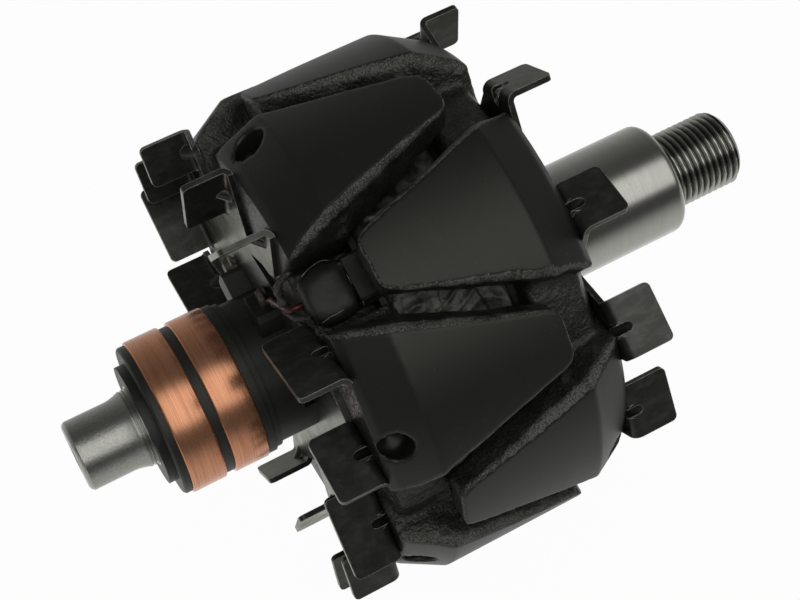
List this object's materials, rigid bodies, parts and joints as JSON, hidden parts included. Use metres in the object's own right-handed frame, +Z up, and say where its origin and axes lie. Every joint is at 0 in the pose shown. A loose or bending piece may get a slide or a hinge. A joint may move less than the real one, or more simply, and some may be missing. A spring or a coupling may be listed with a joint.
{
  "type": "alternator rotor",
  "caption": "Claw-pole alternator rotor: shaft with copper slip rings, interleaved claw poles round a field coil, and a stamped fan at each end.",
  "frame": {"origin": "on the shaft's axis, at the middle of the drive-end journal", "axes": "+X along the shaft towards the threaded drive end, +Z up, with a drive-end claw upright on +Z"},
  "size_m": [0.1548, 0.106, 0.106],
  "materials": {
    "ground_steel": "ground and turned",
    "pole_black": "satin black over forged steel",
    "core_steel": "bare soft steel",
    "bobbin_plastic": "moulded, resin coated",
    "winding_copper": "enamelled copper wire",
    "tape": "resin-soaked woven tape",
    "hub_plastic": "moulded black thermoset",
    "ring_copper": "turned copper",
    "clip_metal": "tinned, resin coated",
    "sleeve": "varnished braid",
    "fan_steel": "dark phosphated sheet steel"
  },
  "bodies": {
    "root": {"shaft": "ground_steel", "claw_pole_slip_end": "pole_black", "claw_pole_drive_end": "pole_black", "pole_core": "core_steel", "coil_bobbin": "bobbin_plastic", "field_coil": "winding_copper", "coil_tape": "tape", "slip_ring_hub": "hub_plastic", "slip_ring_outer": "ring_copper", "slip_ring_inner": "ring_copper", "ring_conductor_outer": "winding_copper", "ring_conductor_inner": "winding_copper", "lead_clip_start": "clip_metal", "lead_clip_finish": "clip_metal", "coil_lead_start": "winding_copper", "coil_lead_finish": "winding_copper", "lead_sleeve_start": "sleeve", "lead_sleeve_finish": "sleeve", "fan_slip_end": "fan_steel", "fan_drive_end": "fan_steel"}
  },
  "joints": []
}
